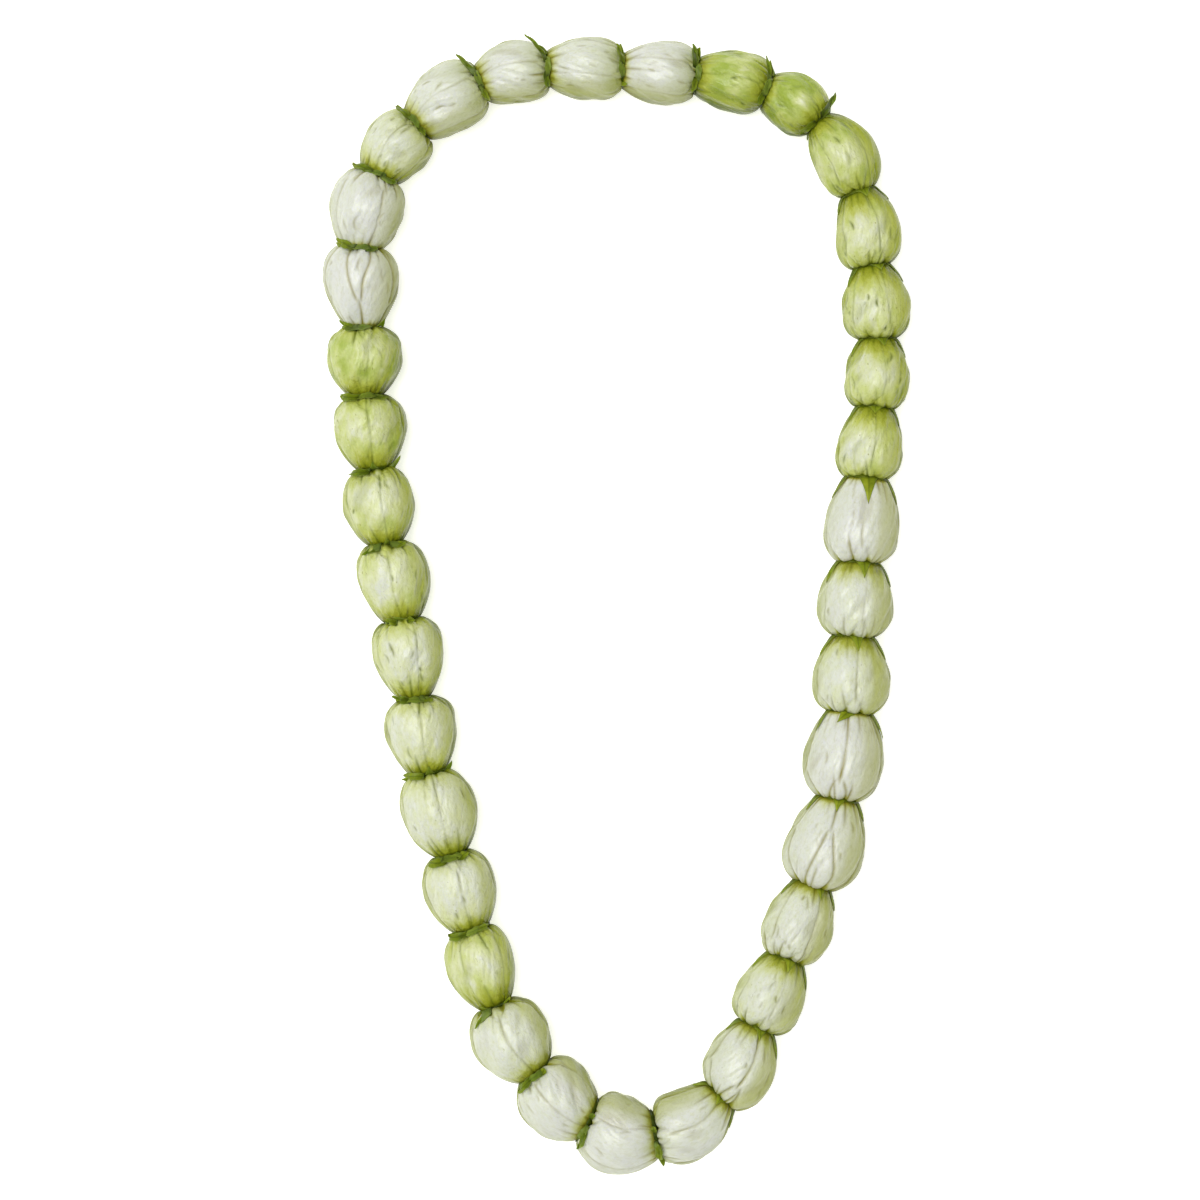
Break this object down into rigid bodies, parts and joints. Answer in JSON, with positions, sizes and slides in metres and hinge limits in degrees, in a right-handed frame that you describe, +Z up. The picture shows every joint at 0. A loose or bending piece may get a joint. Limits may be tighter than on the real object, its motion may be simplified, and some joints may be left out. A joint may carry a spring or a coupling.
{
  "type": "fresh flower lei",
  "caption": "Closed garland of waxy white and lime green flower buds with small five-pointed calyxes, strung base to tip on a hidden thread and laid flat in a long loop.",
  "frame": {"origin": "on the surface that the lei lies on, below the middle of its overall box", "axes": "+Z up from that surface, +Y along the loop to its wide end, which goes behind the neck, +X to the right as seen from above"},
  "size_m": [0.1778, 0.3438, 0.0239],
  "materials": {
    "petals_white": "satin",
    "petals_tinged": "satin",
    "petals_pale_green": "satin",
    "petals_lime": "satin",
    "calyx": "satin",
    "thread": "matte"
  },
  "bodies": {
    "root": {"bud_01": "petals_white", "bud_02": "petals_white", "bud_03": "petals_white", "bud_04": "petals_lime", "bud_05": "petals_lime", "bud_06": "petals_pale_green", "bud_07": "petals_pale_green", "bud_08": "petals_pale_green", "bud_09": "petals_pale_green", "bud_10": "petals_pale_green", "bud_11": "petals_white", "bud_12": "petals_tinged", "bud_13": "petals_tinged", "bud_14": "petals_white", "bud_15": "petals_white", "bud_16": "petals_tinged", "bud_17": "petals_tinged", "bud_18": "petals_tinged", "bud_19": "petals_white", "bud_20": "petals_white", "bud_21": "petals_white", "bud_22": "petals_tinged", "bud_23": "petals_pale_green", "bud_24": "petals_tinged", "bud_25": "petals_tinged", "bud_26": "petals_pale_green", "bud_27": "petals_pale_green", "bud_28": "petals_pale_green", "bud_29": "petals_pale_green", "bud_30": "petals_pale_green", "bud_31": "petals_lime", "bud_32": "petals_white", "bud_33": "petals_white", "bud_34": "petals_tinged", "bud_35": "petals_white", "thread": "thread"}
  },
  "joints": []
}
